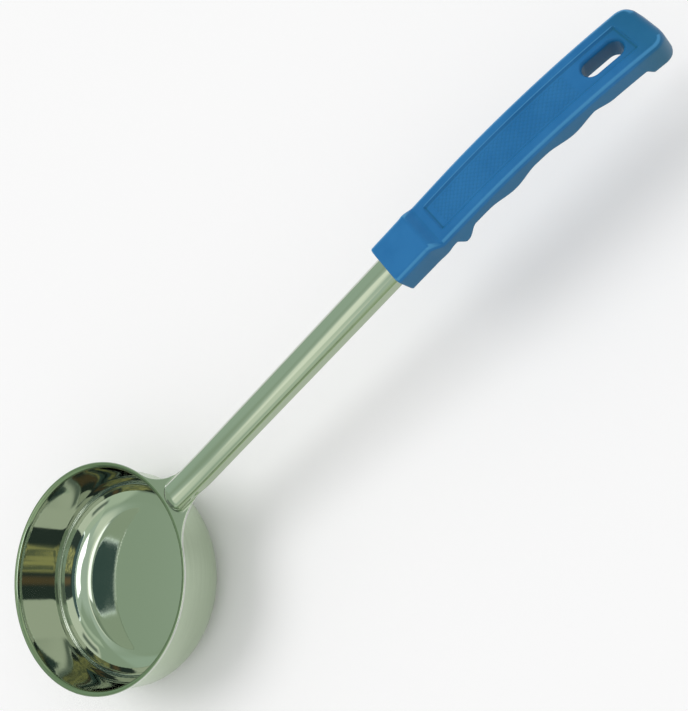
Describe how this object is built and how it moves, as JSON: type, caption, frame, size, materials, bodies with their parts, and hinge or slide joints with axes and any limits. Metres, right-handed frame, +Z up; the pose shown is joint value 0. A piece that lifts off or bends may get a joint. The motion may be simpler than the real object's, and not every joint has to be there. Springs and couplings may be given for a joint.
{
  "type": "portion spoon",
  "caption": "Portion spoon with a round flat-bottomed steel bowl, turned-out lip and channel shaft pressed from a single sheet, and a moulded plastic grip with finger waves and hanging slot.",
  "frame": {"origin": "centre of the bowl's flat underside", "axes": "+Z up out of the bowl, +X from the bowl along the handle, +Y to the left seen from above with the handle pointing away"},
  "size_m": [0.371, 0.108, 0.0543],
  "materials": {
    "stainless": "polished",
    "blue_plastic": "semi-gloss"
  },
  "bodies": {
    "root": {"spoon_body": "stainless", "grip": "blue_plastic"}
  },
  "joints": []
}
